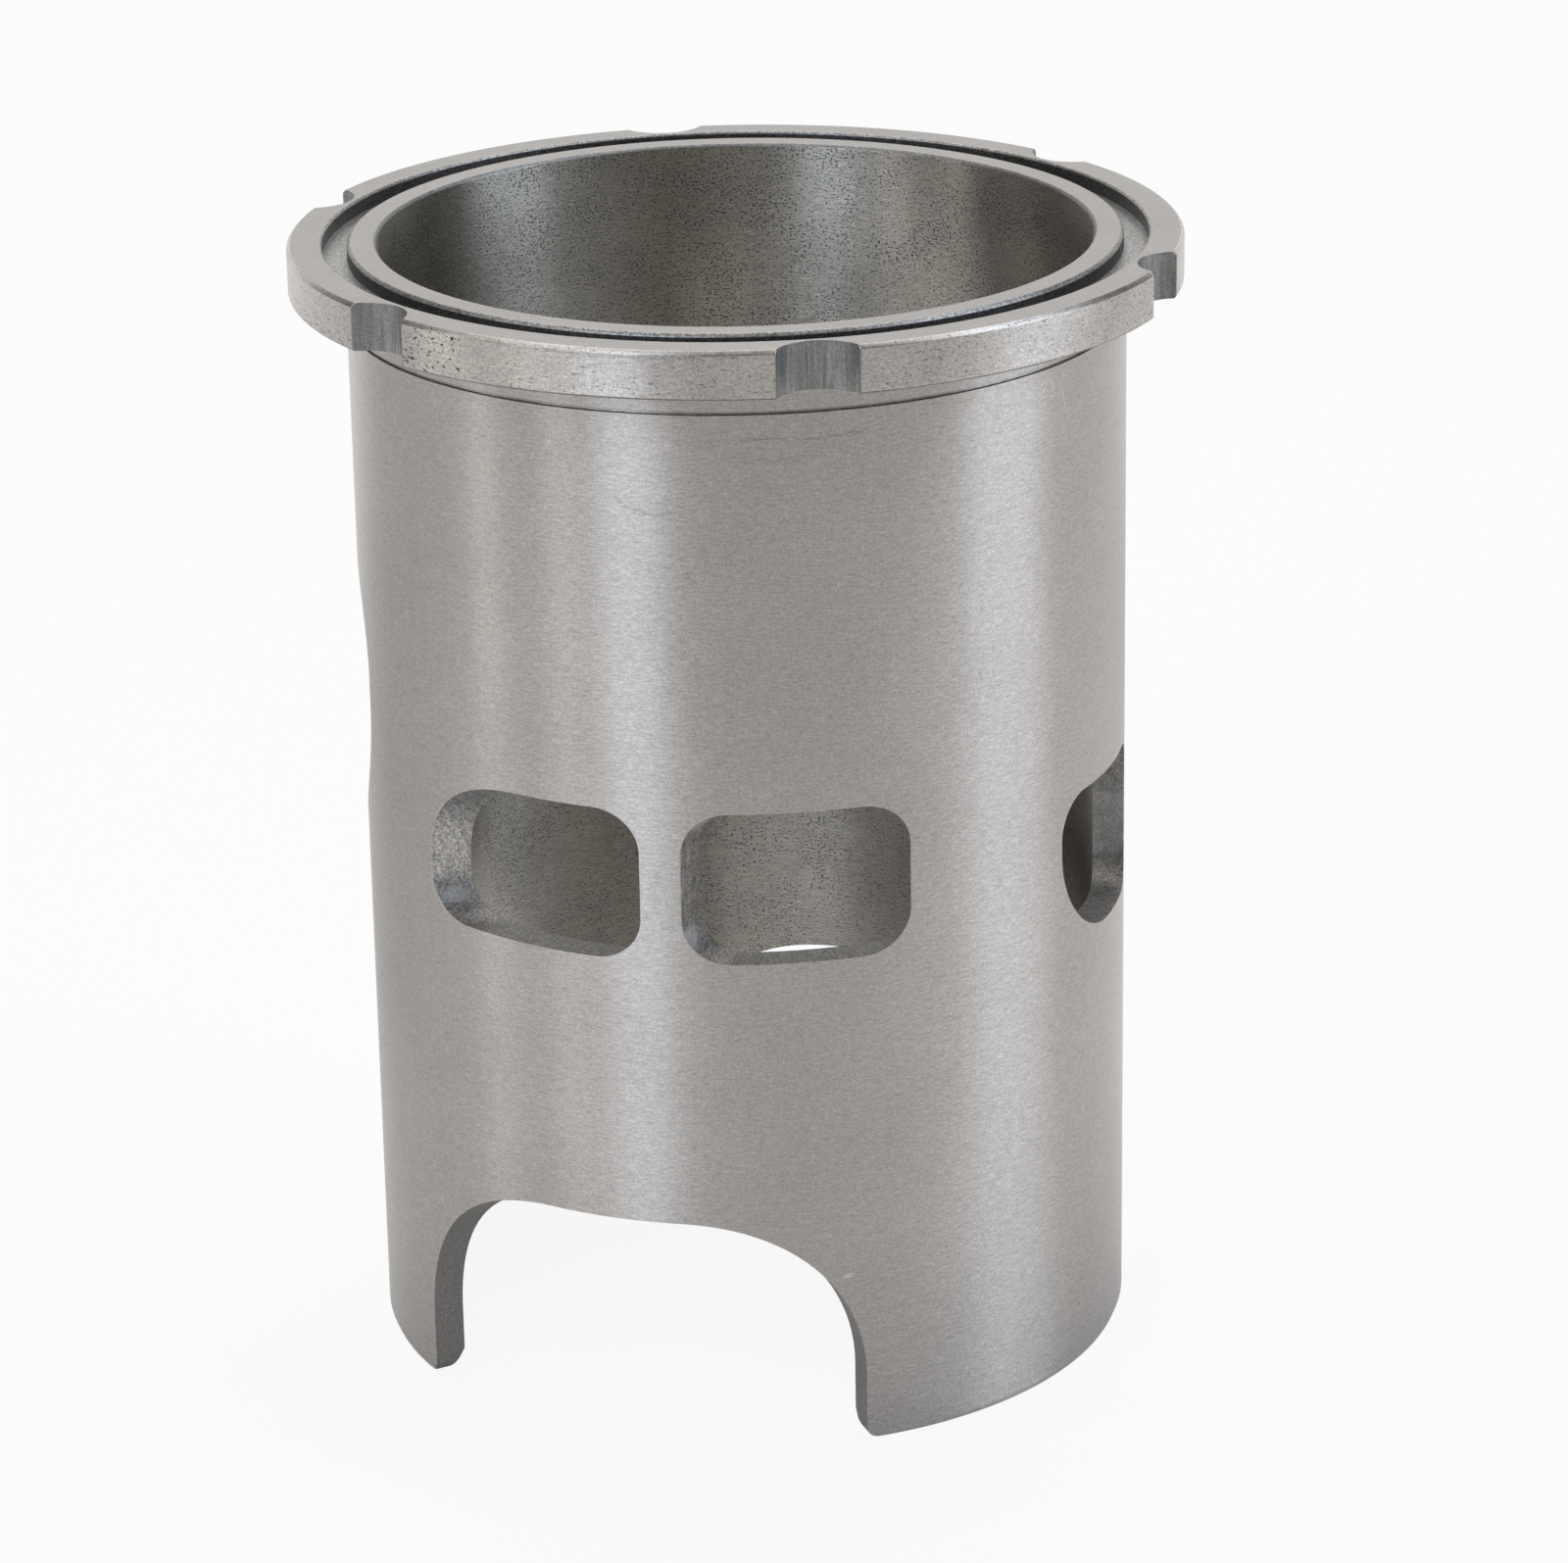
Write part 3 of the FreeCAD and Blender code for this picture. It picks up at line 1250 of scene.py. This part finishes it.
def barrel_stains() -> tuple[Mark, ...]:
    """Lists the dark smudges on the barrel.

    Returns:
        The marks.
    """
    return (
        Mark(3.4, 91.5, 1.1, 0.4, 0.3, -40.0),
        Mark(6.2, 90.7, 1.6, 0.4, 0.35, -12.0),
        Mark(9.8, 90.6, 1.4, 0.35, 0.3, 10.0),
        Mark(12.6, 85.0, 0.5, 0.45, 0.5),
        Mark(23.2, 97.4, 3.4, 0.28, 0.32, 2.0),
        Mark(32.0, 97.3, 3.2, 0.22, 0.38, 3.0),
        Mark(37.0, 97.5, 1.6, 0.35, 0.35, 12.0),
        Mark(25.0, 95.5, 4.5, 0.3, 0.2, 3.0),
        Mark(-18.0, 96.0, 5.0, 0.5, 0.1, -6.0),
        Mark(55.0, 41.0, 6.0, 0.6, 0.08, 4.0),
    )


def barrel_scrapes() -> tuple[Mark, ...]:
    """Lists the fine pale scratches and spots on the barrel.

    Returns:
        The marks.
    """
    return (
        Mark(73.9, 96.4, 2.7, 0.09, 0.5, -72.0),
        Mark(71.0, 98.2, 1.6, 0.08, 0.4, -64.0),
        Mark(24.6, 72.3, 0.7, 0.1, 0.4, -46.0),
        Mark(-37.5, 76.6, 0.7, 0.1, 0.5, -69.0),
        Mark(-42.3, 48.3, 0.45, 0.14, 0.45, 20.0),
        Mark(-42.0, 47.5, 0.4, 0.14, 0.4, -15.0),
        Mark(34.1, 17.0, 0.75, 0.3, 0.5, 18.0),
        Mark(58.0, 66.0, 0.9, 0.08, 0.25, 60.0),
        Mark(-12.0, 30.0, 1.0, 0.08, 0.2, -35.0),
    )


def iron_finishes() -> dict[Surface, IronFinish]:
    """Chooses the finish of each machined surface.

    Returns:
        The finishes, by the surface that each one belongs to.
    """
    return {
        Surface.BARREL: IronFinish(
            "turned_barrel", (0.521, 0.487, 0.457), roughness=0.36, anisotropy=0.95, grain=0.21,
            grain_scale=(1000.0, 7500.0), bump=0.4, mottle=0.03, sand=0.14,
            stains=barrel_stains(), scrapes_and_sheen=barrel_scrapes(),
        ),
        Surface.BORE: IronFinish(
            "honed_bore", (0.525, 0.498, 0.452), roughness=0.34, anisotropy=0.93, grain=0.26,
            bump=0.3, sand=0.12, speck=0.8, speck_scale=(3300.0, 5600.0), speck_limit=0.605,
            speck_rise=0.04, mottle=0.1,
        ),
        Surface.DECK: IronFinish(
            "faced_deck", (0.391, 0.372, 0.354), roughness=0.4, anisotropy=0.3, grain=0.06,
            sand=0.1,
        ),
        Surface.RIM: IronFinish(
            "turned_rim", (0.547, 0.511, 0.476), roughness=0.34, anisotropy=0.9, grain=0.16,
            bump=0.3, speck=0.5, speck_limit=0.63, mottle=0.12, sand=0.2,
            pitted=(
                Mark(-20.0, 104.6, 4.6, 4.0, core=0.6), Mark(-4.0, 105.9, 10.0, 0.9, 0.75)
            ),
            stains=(Mark(6.0, 106.3, 14.0, 0.4, 0.3),),
        ),
        # upward_painted_light darkens the ports' upward faces: painted shade.
        Surface.PORT: IronFinish(
            "milled_port", (0.42, 0.403, 0.385), roughness=0.5, grain=0.3,
            grain_scale=(3600.0, 600.0), bump=0.3, sand=0.42, upward_painted_light=0.55,
            scrapes_and_sheen=(
                Mark(-30.4, 50.2, 1.4, 1.0, 0.2, -40.0), Mark(11.8, 50.4, 1.0, 1.5, 0.18),
                # This pale patch on the boost port's far wall is a painted highlight.
                Mark(106.9, 49.3, 4.0, 5.0, 0.3),
            ),
        ),
        Surface.ARCH: IronFinish(
            "milled_arch", (0.275, 0.262, 0.25), roughness=0.5, bump=0.2, sand=0.2,
        ),
        Surface.NOTCH: IronFinish(
            "milled_notch", (0.275, 0.27, 0.264), roughness=0.5, grain=0.32,
            grain_scale=(3600.0, 160.0), bump=0.2, sand=0.2,
            stains=(Mark(29.1, 105.0, 0.16, 3.0, 0.6), Mark(-27.0, 105.0, 0.14, 3.0, 0.3)),
        ),
        # The groove's dark colour is painted shade on its walls, and upward_painted_light paints
        # its floor lighter, as lit from above.
        Surface.GROOVE: IronFinish(
            "grooved_iron_painted_shade", (0.13, 0.127, 0.123), roughness=0.45, anisotropy=0.2, grain=0.15,
            bump=0.3, sand=0.5, upward_painted_light=3.0,
        ),
        Surface.EDGE: IronFinish(
            "broken_edge", (0.35, 0.342, 0.33), roughness=0.42, grain=0.08, sand=0.5,
            sand_scale=3600.0,
        ),
    }


def studio_lamps() -> tuple[Lamp, ...]:
    """Lists the softboxes, whose bands show on the barrel.

    Returns:
        The lamps.
    """
    return (
        Lamp("right_softbox", 82.5, 1.0, 0.65, 0.62, 1.3, 2.15, (0.865, 0.98, 1.14)),
        Lamp("left_softbox", -32.5, 1.0, 0.65, 0.38, 1.3, 2.4, (0.865, 0.98, 1.14)),
        Lamp("left_side_softbox", -53.0, 1.0, 0.65, 0.2, 1.3, 1.5),
        Lamp("far_left_softbox", -79.0, 1.0, 0.65, 0.15, 1.3, 2.0),
        Lamp("top_softbox", 180.0, 0.5, 1.3, 1.4, 1.0, 2.2),
    )


def main() -> None:
    """Builds the scene."""
    logging.basicConfig(level=logging.INFO, format="%(name)s: %(message)s")
    bpy.context.scene.view_settings.view_transform = "Standard"
    camera = PhotoCamera()
    camera.make()
    Studio(camera.azimuth, studio_lamps()).make()
    Liner(finishes=iron_finishes()).make()
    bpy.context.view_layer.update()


if __name__ == "__main__":
    main()
